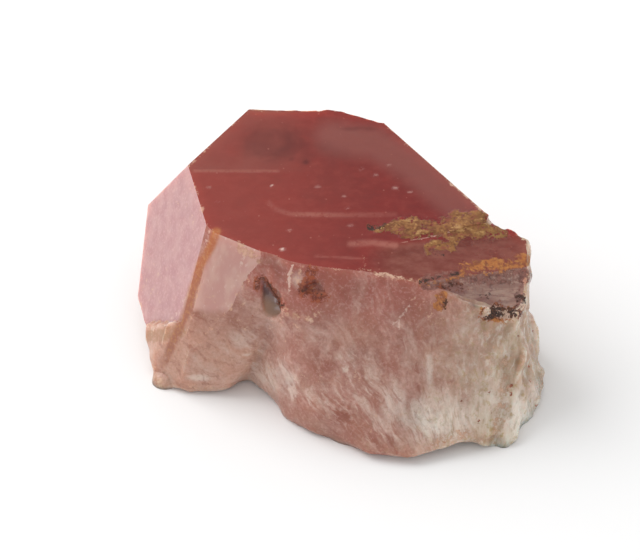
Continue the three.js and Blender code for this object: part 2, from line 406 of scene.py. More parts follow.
def grain_of(points):
    """Coordinates that run across the grain, along it, and in depth."""
    ray = plan(points) - MEETING
    across = np.arctan2(-ray[:, 0], ray[:, 1]) * 28
    return np.stack([across, np.hypot(ray[:, 0], ray[:, 1]), (points - FRONT) @ OUTWARD], -1)


def crust_depth(points):
    """How far inside the ochre crust's outline each point is, in mm, ragged at the edge."""
    at = plan(points)
    d, along = from_path(at, CRUST)
    stops, widths = [0, 0.18, 0.36, 0.56, 0.74, 0.88, 1], [0.3, 1.3, 1.0, 1.6, 1.6, 0.9, 0.3]
    inside = np.maximum(np.interp(along, stops, widths) - d, 0.8 - from_path(at, CRUST_BLOB)[0])
    ragged = 0.6 * layered(points, 1.3, 3, seed=90, fall=0.65)
    return np.where(points[:, 2] > 17.5, inside + ragged, -3)


def under_crown(points):
    """How far each point is straight below the crown's plane, in mm."""
    azimuth, pitch, reach = PLANES[CROWN]
    n = unit(azimuth, pitch)
    return (reach - (points - HEART) @ n) / n[2]


def past_step(points):
    """How far each point is past the line where the crown's lower step begins, in mm."""
    off = points - HEART
    past = [off @ unit(azimuth, 0) - reach for azimuth, reach in (STEP_FRONT, STEP_RIGHT)]
    return np.maximum(*past)


def past_rim(at, widths):
    """How far each point is outside the long pocket, which has these widths along it, in mm."""
    d, along = from_path(at, POCKET)
    return d - np.interp(along, [0, 0.45, 1], widths)


# ---------------------------------------------------------------- the broken walls' relief
def let_out(points, at):
    """Where the walls stand further out, or in, than the solid's, in mm."""
    x, y, z = points.T
    foot_front = ramp(z, 5.5, 0.5) * ramp(np.abs(x - 6.5), 7.0, 2.0) * ramp(y, -14, -17)
    foot_right = ramp(x, 21, 23.5) * ramp(z, 6, 2) * ramp(y, -7, -12)
    notch = ramp(np.hypot(at[:, 0] - 21.6, at[:, 1] + 20.2), 1.6, 0.4) * ramp(z, 7, 5)
    under_crown_end = ramp(x, 20, 23) * ramp(z, 12, 15.5)
    waist = ramp(x, 22, 25) * ramp(z, 17, 13) * ramp(z, 3, 7)
    tip = ramp(x, 25.6, 26.6)
    let = 0.75 * foot_front + 0.7 * foot_right + 1.2 * under_crown_end
    return let - 0.8 * notch - 0.45 * waist - 0.6 * tip


def marked(points, at, shown):
    """The front's pocket, pit, ledges and cracks, and the nibbled edge under the crown, in mm."""
    y = points[:, 1]

    def near(path, width, core):
        return ramp(from_path(at, path)[0], width, core)

    rim = past_rim(at, (0.25, 0.55, 1.1))
    up = -0.6 * ramp(rim, 0.2, -0.2) * ramp(y, 1, -1)
    right_of_pocket = near(POCKET, 2.2, 1.2) * ramp(at[:, 0], -6.8, -5.8)
    up += 0.5 * ramp(rim, 0.1, 0.5) * right_of_pocket * shown
    up += 0.45 * near(PIT, 1.3, 0.2) * shown * (1 + ripple(points, 0.8, seed=33))
    up += 0.22 * near(LEDGE, 0.45, 0.1) * shown
    up += 0.25 * near(SHELF, 0.6, 0.1) * shown
    up -= 0.10 * near(CRACK, 0.3, 0.1) * shown
    up += 0.35 * ramp(np.hypot(at[:, 0] - 20.0, at[:, 1] + 3.3), 1.4, 0.4) * shown
    d, along = from_path(at, SLAB_EDGE)
    up -= 0.35 * ramp(d, 0.5, 0.1) * ramp(y, -4, -7) * ramp(along, 1, 0.8)
    nearest_chip, next_chip, number = cracked(points, 1.1, seed=80)
    chips = ramp(number, 0.55, 0.9) * ramp(next_chip - nearest_chip, 0, 0.4)
    return up - 0.16 * chips * ramp(under_crown(points), 1.0, 0.0)


def relief(points, normals):
    """How far each point of the broken walls stands out, in mm."""
    x, y, z = points.T
    grain, at = grain_of(points), plan(points)
    front = ramp(normals @ OUTWARD, 0.35, 0.75)
    away = 1 - front
    hackly = ramp(x + 0.3 * z, 17.0, 23.0)  # the right end breaks into deeper dishes
    bent = points + 0.5 * ripple(points, 1.8, seed=31)[:, None]
    up = 0.28 * layered(points, 5.2, 2, seed=3)
    up += 0.06 * (1 - 2 * np.abs(ripple(grain * (1, 0.2, 1), 1.9, seed=11)))
    broad, small = dished(bent, 3.6, 0.6, seed=40), dished(bent * (1, 1, 0.6), 1.5, 0.8, seed=50)
    up += (0.22 + 0.75 * hackly + 0.45 * away) * (broad - 0.25 - 0.35 * hackly)
    up += (0.05 + 0.45 * hackly + 0.12 * away) * (small - 0.2)
    up += 0.04 * layered(points, 0.9, 2, seed=60)
    return up + let_out(points, at) + marked(points, at, front * ramp(y, 1, -1))


def nearest(points, spots):
    """(index of the nearest spot to each point, how far it is)."""
    tree = KDTree(len(spots))
    for i, spot in enumerate(spots):
        tree.insert(spot, i)
    tree.balance()
    found = np.array([tree.find(p)[1:] for p in points])
    return found[:, 0].astype(int), found[:, 1]


def carved(points, quads, flags):
    """The net with the relief of the broken walls and the crust. Along its edges a growth face
    stays flat, and only its outline changes."""
    _, normals = faced(points, quads)
    free, floor = flags[:, BROKEN], flags[:, FLOOR]
    up = np.where(free, relief(points, normals), 0)
    # near the floor the wall moves sideways only, and the floor's rim goes with it
    level = ramp(points[:, 2], 4.0, 1.5)[:, None] * (0, 0, 1)
    move = up[:, None] * normals * (1 - level)
    wall = free & ~floor
    index, away = nearest(points[floor], points[wall])
    move[floor] = move[wall][index] * ramp(away, 3.5, 0.3)[:, None]
    points = points + move
    points[:, 2] = np.maximum(points[:, 2], np.where(floor, 0, 0.08))
    points = held(points, flags)
    points = spread(points, quads, (flags.sum(1) == 1) & ~free, 40)
    points = evened(points, quads, flags, 2)

    # the crust fills the riser of the crown's step, and stands on the crown in lumps
    gap = under_crown(points)
    past = past_step(points)
    low = flags[:, STEP] | (free & (gap > 0.02) & (gap < 1.0))
    fill = np.where(low & (past > -1.0), gap * ramp(past, 1.8, 0.1), 0)
    inside = crust_depth(points)
    points[:, 2] += fill * np.maximum(ramp(points[:, 0], 19.5, 17.0), ramp(inside, -0.6, 0.3))
    lumps = 0.20 + 0.16 * layered(points, 1.1, 2, seed=95)
    lift = ramp(inside, -0.1, 0.6) * lumps * ramp(gap, 0.8, 0.1)
    points += lift[:, None] * unit(*PLANES[CROWN][:2])
    points = spread(points, quads, fill > 0.02, 5)
    points[:, 2] = np.maximum(points[:, 2], 0)
    return points


def to_edges(points, quads, label):
    """How far each point is from the nearest edge between faces of two kinds, in mm."""
    corners = np.repeat(np.arange(len(quads)), 4)
    low = np.full(len(points), len(PLANES) + 1)
    high = np.full(len(points), -1)
    np.minimum.at(low, quads.ravel(), label[corners])
    np.maximum.at(high, quads.ravel(), label[corners])
    return nearest(points, points[low != high])[1]


def through(points, normals, quads, deepest=12.0):
    """How thick the stone is under each point near its right end, in mm."""
    tree = BVHTree.FromPolygons(points.tolist(), quads.tolist())
    thick = np.full(len(points), deepest)
    for i in np.flatnonzero(points[:, 0] > 17):
        hit = tree.ray_cast(Vector(points[i] - normals[i] * 0.05), Vector(-normals[i]), deepest)
        thick[i] = hit[3] or deepest
    return thick


def stone_mesh(points, quads, label):
    """The stone's mesh, smooth but for the edges between growth faces and the sharpest ridges."""
    mesh = bpy.data.meshes.new("quartz_stone")
    mesh.from_pydata((points * MM).tolist(), [], quads.tolist())
    mesh.shade_smooth()
    across, _ = faced(points, quads)
    sides = np.empty(len(mesh.loops), np.int64)
    mesh.loops.foreach_get("edge_index", sides)
    owner = np.repeat(np.arange(len(quads)), 4)
    first = np.full(len(mesh.edges), -1)
    last = np.full(len(mesh.edges), -1)
    first[sides[::-1]] = owner[::-1]
    last[sides] = owner
    turn = np.degrees(np.arccos(np.clip((across[first] * across[last]).sum(1), -1, 1)))
    sharp = ((label[first] != label[last]) & (turn > 9)) | (turn > 50)
    mesh.attributes.new("sharp_edge", "BOOLEAN", "EDGE").data.foreach_set("value", sharp)
    return mesh


# ---------------------------------------------------------------- the stone's material
def paint(code):
    """A linear colour from a six-figure sRGB code."""
    parts = [int(code[i : i + 2], 16) / 255 for i in (0, 2, 4)]
    return tuple(c / 12.92 if c <= 0.04045 else ((c + 0.055) / 1.055) ** 2.4 for c in parts) + (1,)


class Recipe:
    """The shader nodes of one material. Each method adds a node and gives back its output."""

    def __init__(self, name):
        self.material = bpy.data.materials.new(name)
        self.material.use_nodes = True
        self.tree = self.material.node_tree
        self.shader = self.tree.nodes["Principled BSDF"]

    def put(self, socket, value):
        """Sets an input, or links it if the value is another node's output."""
        if isinstance(value, bpy.types.NodeSocket):
            self.tree.links.new(value, socket)
        else:
            socket.default_value = value

    def add(self, kind, inputs, **settings):
        node = self.tree.nodes.new("ShaderNode" + kind)
        for key, value in settings.items():
            setattr(node, key, value)
        for key, value in inputs.items():
            self.put(node.inputs[key], value)
        return node

    def read(self, name, output="Fac"):
        return self.add("Attribute", {}, attribute_name=name).outputs[output]

    def calc(self, operation, *values):
        return self.add("Math", dict(enumerate(values)), operation=operation).outputs[0]

    def times(self, a, b):
        return self.calc("MULTIPLY", a, b)

    def scaled(self, vector, factors):
        return self.add("VectorMath", {0: vector, 1: factors}, operation="MULTIPLY").outputs[0]

    def moved(self, vector, by):
        return self.add("VectorMath", {0: vector, 1: by}, operation="ADD").outputs[0]

    def noise(self, at, scale, detail=2.0, rough=0.5, distortion=0.0, output="Fac"):
        inputs = {"Vector": at, "Scale": scale, "Detail": detail}
        inputs |= {"Roughness": rough, "Distortion": distortion}
        return self.add("TexNoise", inputs).outputs[output]

    def step(self, value, low, high, top=1.0, start=0.0):
        """start up to low, and top from high on, smooth between; low may be the larger."""
        inputs = {"Value": value, "From Min": low, "From Max": high, "To Min": start, "To Max": top}
        return self.add("MapRange", inputs, interpolation_type="SMOOTHSTEP").outputs["Result"]

    def fall(self, value, low, high, top=1.0):
        """top at low, and nothing from high up."""
        return self.step(value, low, high, 0.0, top)

    def blend(self, amount, under, over):
        """over on top of under, by an amount from 0 to 1."""
        colour_a, colour_b, colour_out = 6, 7, 2  # where the Mix node keeps its colour sockets
        inputs = {"Factor": amount, colour_a: under, colour_b: over}
        return self.add("Mix", inputs, data_type="RGBA").outputs[colour_out]

    def specks(self, at, scale, size, share):
        """1 in small round spots, in a share of the cells only."""
        cells = self.add("TexVoronoi", {"Vector": at, "Scale": scale}).outputs
        number = self.add("SeparateColor", {0: cells["Color"]}).outputs[0]
        chosen = self.calc("LESS_THAN", number, share)
        return self.times(chosen, self.fall(cells["Distance"], size * 0.5, size))

    def torn(self, name, speckle, spread, low, high, top):
        """A mark that the stone carries, with a ragged edge."""
        there = self.read(name)
        value = self.calc("ADD", there, self.times(speckle, spread))
        return self.times(self.step(value, low, high, top), self.step(there, 0.02, 0.2))


def broken_colour(r, mm, grain):
    """Smoky pink with pale feathers along the grain, paler and drier towards the right end."""
    dry = r.read("dry")
    bend = r.noise(mm, 0.30, 3.0, output="Color")
    bend = r.moved(bend, (-0.5, -0.5, -0.5))
    flow = r.moved(grain, r.scaled(bend, (2.0, 2.0, 2.0)))
    broad = r.noise(r.scaled(flow, (1, 0.35, 1)), 0.19, 2, 0.5)
    feather = r.noise(r.scaled(flow, (1, 0.40, 1)), 0.42, 6, 0.62, 0.7)
    thread = r.noise(r.scaled(flow, (1, 0.30, 1)), 1.2, 5, 0.62, 0.5)
    cloud = r.noise(mm, 0.24, 3, 0.55, 0.4)
    base = r.blend(r.step(broad, 0.38, 0.62), paint("9e6b5c"), paint("ac7e71"))
    base = r.blend(r.step(cloud, 0.50, 0.66, 0.4), base, paint("a0674f"))
    base = r.blend(r.read("blush"), base, paint("964b40"))
    patchy = r.step(r.noise(flow, 0.7, 4, 0.6), 0.30, 0.60)
    base = r.blend(r.times(r.read("brown"), patchy), base, paint("8d5041"))
    pale = r.blend(r.step(cloud, 0.4, 0.65), paint("a98e77"), paint("c6b7a3"))
    base = r.blend(dry, base, pale)
    base = r.blend(r.times(r.read("foot"), 0.8), base, paint("bd9480"))

    density = r.calc("ADD", r.read("veiled"), r.step(broad, 0.30, 0.60, 0.5))
    base = r.blend(r.times(r.step(feather, 0.42, 0.66, 0.9), density), base, paint("c0a295"))
    # whitish patches, and a painted highlight along the left foot's lower rim
    base = r.blend(r.times(r.read("milky_and_highlight"), r.step(feather, 0.15, 0.65)), base, paint("e4dbd0"))
    base = r.blend(r.times(r.step(thread, 0.50, 0.72, 0.6), density), base, paint("d3bdb0"))
    dark = r.times(r.step(thread, 0.47, 0.36), r.fall(dry, 0.2, 1.0, 0.45))
    base = r.blend(dark, base, paint("8a5141"))

    grit = r.noise(mm, 2.6, 5, 0.7)
    grainy = r.times(r.step(grit, 0.50, 0.64), r.fall(dry, 0.2, 1.2, 0.28))
    base = r.blend(grainy, base, paint("8e6048"))
    base = r.blend(r.step(grit, 0.48, 0.38, 0.25), base, paint("cfa99f"))
    mottled = r.noise(r.scaled(flow, (1, 0.55, 1)), 1.2, 5, 0.6)
    base = r.blend(r.times(dry, r.step(mottled, 0.50, 0.66, 0.5)), base, paint("98805f"))
    base = r.blend(r.times(dry, r.step(mottled, 0.48, 0.34, 0.6)), base, paint("d8cfc2"))
    mossy = r.times(dry, r.step(r.noise(mm, 1.0, 5, 0.68), 0.56, 0.63, 0.5))
    return r.blend(mossy, base, paint("a08a4c"))


def crown_colour(r, mm):
    """Deep red, with a painted reflection that greys it at the back, painted light that lightens
    its left, a dark cloud, pale bands and fine pale dust.
    """
    slow = r.noise(mm, 0.10, 3, 0.5, 0.3)
    mottled = r.noise(r.scaled(mm, (0.6, 1, 1)), 0.9, 5, 0.65)
    base = r.blend(r.step(slow, 0.35, 0.65), paint("72110a"), paint("7c150e"))
    base = r.blend(r.step(mottled, 0.46, 0.70, 0.40), base, paint("8c3128"))
    base = r.blend(r.step(mottled, 0.50, 0.32, 0.30), base, paint("661008"))
    # painted light: the crown lighter towards its left, the window's side
    base = r.blend(r.times(r.read("left"), 0.5), base, paint("9e4334"))
    # painted reflection: greyer across the back left of the crown
    base = r.blend(r.times(r.read("back_left_reflection"), r.step(slow, 0.2, 0.6, 0.75)), base, paint("864438"))
    # painted reflection: greyer along the back and the right edge of the crown
    base = r.blend(r.read("back_reflection"), base, paint("884b42"))
    lower = r.blend(r.step(mottled, 0.3, 0.7), paint("762e20"), paint("884c3e"))
    base = r.blend(r.read("step"), base, lower)
    cloudy = r.step(r.noise(mm, 0.26, 2, 0.5, 0.5), 0.24, 0.66)
    base = r.blend(r.times(r.read("shade"), cloudy), base, paint("560d06"))
    grain = r.noise(mm, 1.3, 4, 0.7)
    base = r.blend(r.times(r.read("streak"), r.step(grain, 0.2, 0.55)), base, paint("a8685a"))
    dust = r.times(r.specks(mm, 1.1, 0.17, 0.35), r.step(slow, 0.35, 0.6, 0.45))
    dust = r.calc("MAXIMUM", dust, r.step(grain, 0.66, 0.78, 0.35))
    base = r.blend(dust, base, paint("b0705f"))
    return r.blend(r.times(r.read("dots"), r.step(grain, 0.36, 0.60)), base, paint("e6c8bd"))


def end_colour(r, mm):
    """Cool pink, finely frosted."""
    fine = r.noise(mm, 0.5, 4, 0.6)
    base = r.blend(r.step(fine, 0.3, 0.7), paint("ae8081"), paint("bb9290"))
    return r.blend(r.step(r.noise(mm, 2.6, 3, 0.6), 0.5, 0.65, 0.4), base, paint("cba4a0"))


def facet_colour(r, mm):
    """Warm pale pink with upright scratches."""
    fine = r.noise(r.scaled(mm, (1, 1, 0.3)), 0.6, 3, 0.55)
    base = r.blend(r.step(fine, 0.4, 0.65), paint("bd9087"), paint("c59f94"))
    scratch = r.noise(r.scaled(mm, (1.6, 1.6, 0.16)), 1.3, 3, 0.6)
    return r.blend(r.step(scratch, 0.60, 0.72, 0.5), base, paint("d8bdb4"))


def back_colour(r, mm, under):
    """The grown faces at the back: the same stone under fine level lines."""
    line = r.noise(r.scaled(mm, (0.12, 0.12, 1)), 1.4, 4, 0.6)
    base = r.blend(r.step(line, 0.4, 0.6), paint("a96f66"), paint("b98880"))
    base = r.blend(0.6, under, base)
    return r.blend(r.step(line, 0.58, 0.68, 0.25), base, paint("d4b2a6"))


def strip_colour(r, mm):
    """Greyish pink with fine growth lines along the crown's edge."""
    turned = {"Vector": mm, "Rotation": (0, 0, math.radians(-14)), "Scale": (0.08, 1, 1)}
    line = r.noise(r.add("Mapping", turned).outputs[0], 2.4, 3, 0.6)
    base = r.blend(r.step(line, 0.42, 0.6), paint("937166"), paint("ab8c7e"))
    base = r.blend(r.times(r.read("brown"), 0.9), base, paint("80504a"))
    return r.blend(r.step(r.noise(mm, 0.8, 3, 0.6), 0.55, 0.65, 0.6), base, paint("6d4042"))


def clean_colour(r, mm, grain):
    """The stone before any stain: broken walls, and each growth face in its own colour."""
    colour = broken_colour(r, mm, grain)
    colour = r.blend(r.read("on_end"), colour, end_colour(r, mm))
    facet = r.times(r.read("on_facet"), r.read("upper"))
    colour = r.blend(facet, colour, facet_colour(r, mm))
    colour = r.blend(r.read("on_strip"), colour, strip_colour(r, mm))
    colour = r.blend(r.read("on_back"), colour, back_colour(r, mm, colour))
    return r.blend(r.read("on_crown"), colour, crown_colour(r, mm))


def crust_layer(r, mm, crumb):
    """(where the tan crust is, its colour), in crumbs with gaps between them."""
    inside = r.calc("ADD", r.read("crust"), r.times(r.calc("SUBTRACT", crumb, 0.5), 2.4))
    there = r.times(r.step(inside, 0.0, 0.25), r.fall(crumb, 0.56, 0.66))
    ochre = r.blend(r.step(r.noise(mm, 0.9, 4, 0.6), 0.4, 0.6), paint("744628"), paint("94653a"))
    ochre = r.blend(r.step(r.noise(mm, 2.3, 3, 0.6), 0.55, 0.7, 0.6), ochre, paint("b28652"))
    ochre = r.blend(r.times(r.read("olive"), 0.6), ochre, paint("92723e"))
    ragged = r.noise(r.scaled(mm, (0.5, 1, 1)), 1.0, 5, 0.7)
    ochre = r.blend(r.step(ragged, 0.54, 0.66, 0.85), ochre, paint("8a463a"))
    ochre = r.blend(r.step(ragged, 0.46, 0.34, 0.7), ochre, paint("bf9560"))
    return there, r.blend(r.step(crumb, 0.44, 0.34, 0.7), ochre, paint("5c3420"))


def pocket_colour(r, mm):
    """Plum walls, painted warmer where light falls in, with one painted highlight."""
    walls = r.step(r.noise(mm, 1.2, 2, 0.5), 0.46, 0.54)
    walls = r.blend(walls, paint("6f5558"), paint("8e7879"))
    # painted light on the pocket's lower right
    walls = r.blend(r.read("sunlit"), walls, paint("ac8d77"))
    # painted highlight on the pocket's wall
    return r.blend(r.read("painted_highlight"), walls, paint("d8ccd0"))


def stained_colour(r, mm, colour, crumb, crust, ochre):
    """The stains over a colour: (the colour with them, where iron lies, where umber lies)."""
    fine = r.noise(mm, 2.3, 6, 0.72)
    coarse = r.noise(mm, 0.8, 5, 0.65)
    speckle = r.calc("SUBTRACT", r.calc("ADD", fine, coarse), 1.0)

    def torn(name, spread, low, high, top):
        return r.torn(name, speckle, spread, low, high, top)

    colour = r.blend(torn("amber", 2.2, 0.25, 0.85, 0.75), colour, paint("a0795a"))
    dusky = r.blend(r.step(fine, 0.42, 0.60), paint("5a3028"), paint("8c5f54"))
    colour = r.blend(torn("murk", 2.2, 0.30, 0.75, 0.9), colour, dusky)
    colour = r.blend(torn("worn", 3.0, 0.55, 0.85, 0.7), colour, paint("cba088"))
    colour = r.blend(r.read("plum"), colour, pocket_colour(r, mm))
    colour = r.blend(torn("pale", 2.2, 0.45, 0.85, 0.65), colour, paint("d6bdb0"))
    dirt = r.blend(r.step(coarse, 0.42, 0.60), paint("a2765c"), paint("caa68f"))
    colour = r.blend(torn("tan", 2.8, 0.52, 0.90, 0.8), colour, dirt)
    burnt = r.blend(r.step(crumb, 0.42, 0.60), paint("66220a"), paint("984a24"))
    colour = r.blend(torn("sienna", 3.0, 0.35, 0.70, 0.9), colour, burnt)
    streaked = r.blend(r.read("band_low"), paint("ac6434"), paint("965c46"))
    streaked = r.blend(r.step(fine, 0.48, 0.60, 0.5), streaked, paint("b98550"))
    colour = r.blend(r.times(r.read("band"), r.step(coarse, 0.20, 0.50)), colour, streaked)
    rusty = r.blend(r.step(crumb, 0.42, 0.58), paint("7c4020"), paint("a8682f"))
    rusty = r.blend(r.step(fine, 0.54, 0.66, 0.6), rusty, paint("bd8d4a"))
    iron = torn("iron", 3.0, 0.35, 0.65, 0.92)
    colour = r.blend(iron, colour, rusty)
    colour = r.blend(crust, colour, ochre)
    inky = r.blend(r.step(fine, 0.5, 0.62), paint("1c0a03"), paint("4e2612"))
    umber = torn("umber", 4.5, 0.50, 0.72, 0.95)
    return r.blend(umber, colour, inky), iron, umber


def roughness(r, mm, crust, iron):
    """Glossier where the stone is clear, and dull on crust, rust and the frosted end face."""
    rough = r.calc("ADD", r.step(r.noise(mm, 0.7, 3, 0.6), 0.35, 0.65, 0.10), 0.32)
    rough = r.calc("ADD", rough, r.times(r.read("on_end"), 0.12))
    rough = r.calc("SUBTRACT", rough, r.times(r.read("dry"), 0.14))
    rough = r.calc("MAXIMUM", rough, r.times(crust, 0.85))
    return r.calc("MAXIMUM", rough, r.times(iron, 0.6))


def fine_bump(r, mm, grain, crumb, crust):
    """Grain too fine for the mesh: strong on broken walls, faint on flat faces, crumbs on crust."""
    height = r.times(r.noise(r.scaled(grain, (1, 0.4, 1)), 1.4, 3, 0.55), 0.45)
    height = r.calc("ADD", height, r.times(r.noise(mm, 3.0, 3, 0.6), 0.25))
    flat_face = r.calc("MAXIMUM", r.read("on_end"), r.read("on_facet"))
    flat_face = r.calc("MAXIMUM", r.read("on_crown"), flat_face)
    height = r.times(height, r.calc("SUBTRACT", 1.0, r.times(flat_face, 0.85)))
    height = r.calc("ADD", height, r.times(crust, r.calc("ADD", 0.4, crumb)))
    return r.add("Bump", {"Height": height, "Strength": 0.5, "Distance": 0.00025}).outputs[0]


def stone_material():
    r = Recipe("lithium_quartz_surface")
    mm = r.scaled(r.add("TexCoord", {}).outputs["Object"], (1000, 1000, 1000))
    grain = r.read("grain", "Vector")
    crumb = r.noise(mm, 1.6, 5, 0.65)
    crust, ochre = crust_layer(r, mm, crumb)
    clean = clean_colour(r, mm, grain)
    colour, iron, umber = stained_colour(r, mm, clean, crumb, crust, ochre)
    stained = r.calc("MAXIMUM", umber, r.calc("MAXIMUM", r.times(iron, 0.7), crust))
    dense = r.calc("MAXIMUM", stained, r.read("dull"))
    values = {
        "Base Color": colour,
        "Roughness": roughness(r, mm, crust, iron),
        "Normal": fine_bump(r, mm, grain, crumb, crust),
        "Transmission Weight": r.read("clear"),
        "IOR": 1.54,
        "Specular IOR Level": 0.4,
        "Subsurface Weight": r.fall(dense, 0.0, 1.0, 0.9),
        "Subsurface Radius": (1.0, 0.6, 0.5),
        "Subsurface Scale": 0.005,
    }
    for name, value in values.items():
        r.put(r.shader.inputs[name], value)
    return r.material


# ---------------------------------------------------------------- where the material's marks lie
class Front:
    """The stone's points in the plan of its front, and how far each is on the front at all."""

    def __init__(self, points, normals):
        self.at = plan(points)
        self.facing = ramp(normals @ OUTWARD, -0.2, 0.2) * ramp(points[:, 1], 12, 8)

    def lines(self, *rows):
        """The strongest of some lines, each a path, the width where it ends, the width of its
        core, and its strength."""
        drawn = [
            strength * ramp(from_path(self.at, path)[0], width, core)
            for path, width, core, strength in rows
        ]
        return np.maximum.reduce(drawn) * self.facing

    def spots(self, places):
        return spots(self.at, places) * self.facing


def stain_masks(front, points, normals, edge):
    """Iron, dirt and wear, which lie over the stone's own colour."""
    masks = {"crust": np.clip(crust_depth(points), -1.5, 1.5)}
    d, along = from_path(front.at, RUST_BAND)
    masks["band"] = ramp(d, 0.85, 0.25) * ramp(along, 1.08, 0.8) * front.facing * 0.9
    masks["band_low"] = ramp(along, 0.1, 0.6)
    masks["iron"] = front.lines(
        (SEAM_RUST, 1.1, 0.4, 0.75),
        (SEAM, 0.7, 0.1, 0.4),
        (STAIN, 1.6, 0.5, 0.35),
        (SEAM_SPOT, 0.95, 0.45, 0.95),
        ([(21.5, -4.8), (23.6, -5.0)], 0.8, 0.2, 0.6),
    )
    sienna = front.lines(
        (PIT_RUST, 1.3, 0.3, 0.95),
        (POCKET_RIM, 0.75, 0.2, 0.8),
        ([(14.6, -0.5), (17.8, -0.9)], 0.9, 0.3, 0.5),
        (STAIN, 1.5, 0.6, 0.6),
        (SEAM_RUST, 1.0, 0.2, 0.42),
        ([(6.4, 6.7), (7.6, 6.6)], 0.9, 0.3, 0.6),
    )
    masks["sienna"] = np.maximum(sienna, front.spots([(u, w, 0.24, 0.24, 0.8) for u, w in SPECKS]))
    masks["umber"] = front.lines(
        (INK, 0.34, 0.05, 0.7),
        (STAIN, 1.1, 0.3, 0.72),
        (STAIN_UPRIGHT, 0.8, 0.2, 0.5),
        ([(25.0, -2.0), (25.0, -3.0)], 0.35, 0.1, 0.8),
        (PIT_RUST, 0.5, 0.1, 0.2),
        ([(15.2, -2.4), (15.0, -3.5)], 0.35, 0.1, 0.6),
        (POCKET_RIM, 0.34, 0.05, 0.62),
        ([(6.3, 6.6), (7.6, 6.8)], 0.7, 0.2, 0.6),
        ([(14.3, 3.0), (15.0, 3.1)], 0.5, 0.1, 0.6),
        ([(15.2, -0.6), (17.8, -0.9)], 0.7, 0.2, 0.5),
        ([(19.8, -1.8), (20.8, -2.0)], 0.4, 0.1, 0.6),
    )
    masks["murk"] = front.lines((MURK, 1.5, 0.6, 0.72), (STAIN_UPRIGHT, 1.0, 0.4, 0.6))
    masks["amber"] = front.lines(
        ([(-17.6, -6.4), (-21.9, -7.2)], 1.3, 0.4, 0.8),
        (TAN_BAND, 1.1, 0.4, 0.5),
        (TAN_LIP, 0.9, 0.3, 0.5),
    )
    tan = front.lines(
        (SHELF, 0.8, 0.1, 0.8),
        ([(-9.8, 4.1), (-8.5, 3.2), (-7.4, 2.4)], 1.0, 0.2, 0.85),
        (PIT, 2.2, 0.8, 0.4),
        ([(-20.6, -12.6), (-20.2, -13.6)], 0.9, 0.3, 0.8),
        (EDGE_DUST, 0.5, 0.1, 0.75),
        ([(-16.3, -13.7), (-11.0, -13.9)], 0.9, 0.1, 0.55),
        (TAN_BAND, 1.6, 0.3, 0.35),
        (TAN_LIP, 1.0, 0.2, 0.6),
        ([(21.4, -4.7), (23.3, -5.2)], 0.8, 0.1, 0.7),
        ([(15.8, 12.6), (20.5, 8.2)], 0.4, 0.05, 0.8),
    )
    off_crown = 1 - ramp(normals[:, 2], 0.8, 0.95)
    masks["tan"] = np.maximum(tan, 0.2 * ramp(ripple(points, 4.0, seed=72), 0.0, 0.6) * off_crown)
    masks["pale"] = front.lines(
        (LEDGE, 0.28, 0.08, 1.0),
        (SHELF, 0.5, 0.1, 0.6),
        (CRACK, 0.3, 0.1, 0.75),
        (CRACK_FORK, 0.3, 0.1, 0.7),
        (END_LIP, 0.6, 0.1, 0.5),
        (CREST, 0.4, 0.1, 0.45),
        (SLAB_EDGE, 0.5, 0.1, 0.35),
    )
    worn = ramp(edge, 0.5, 0.0) * (0.45 + 0.25 * ripple(points, 2.5, seed=74))
    worn *= ramp(points[:, 2], 2, 4) * ramp(np.abs(past_step(points)), 0.6, 1.1)
    masks["worn"] = worn * (1 - spots(front.at, [(16.5, -1.5, 4.5, 1.8, 1.0)]))
    return masks


def crown_masks(at, x, edge, upward):
    """Clouds, bands, dots and broad changes of tone on the crown, with painted reflections at its
    back and painted light towards its left.
    """

    def near(path, width, core, strength):
        return strength * ramp(from_path(at, path)[0], width, core)

    d, along = from_path(at, BAND)
    band = ramp(d, 0.45, 0.1) * np.interp(along, [0, 0.12, 0.35, 0.6, 1], [0.3, 0.3, 0.7, 0.4, 0.2])
    others = near(BAND_LEFT, 0.3, 0.05, 0.45), near(BAND_LOW, 0.2, 0.05, 0.4)
    return {
        "streak": np.maximum.reduce([band, *others, near(BAND_RIGHT, 0.6, 0.1, 0.6)]),
        "shade": spots(at, CLOUDS),
        # painted reflection at the crown's back left
        "back_left_reflection": ramp(at[:, 1], 13.2, 13.9) * ramp(at[:, 0], 0, -9),
        # painted reflection along the crown's back
        "back_reflection": near(BACK_REFLECTION, 3.4, 0.8, 0.75),
        "step": ramp(at[:, 1] - 0.07 * at[:, 0], 4.3, 3.3) * ramp(at[:, 0], 5, 10) * 0.95,
        "dots": spots(at, [(u, w, size * 1.2, size * 0.6, k) for u, w, size, k in DOTS]),
        # painted light: the crown lighter towards the left
        "left": ramp(x, 12, -18),
        "olive": ramp(x, 14, 20) * 0.6,
        "dull": ramp(edge, 1.2, 0.0) * ramp(upward, 0.7, 0.95),
    }


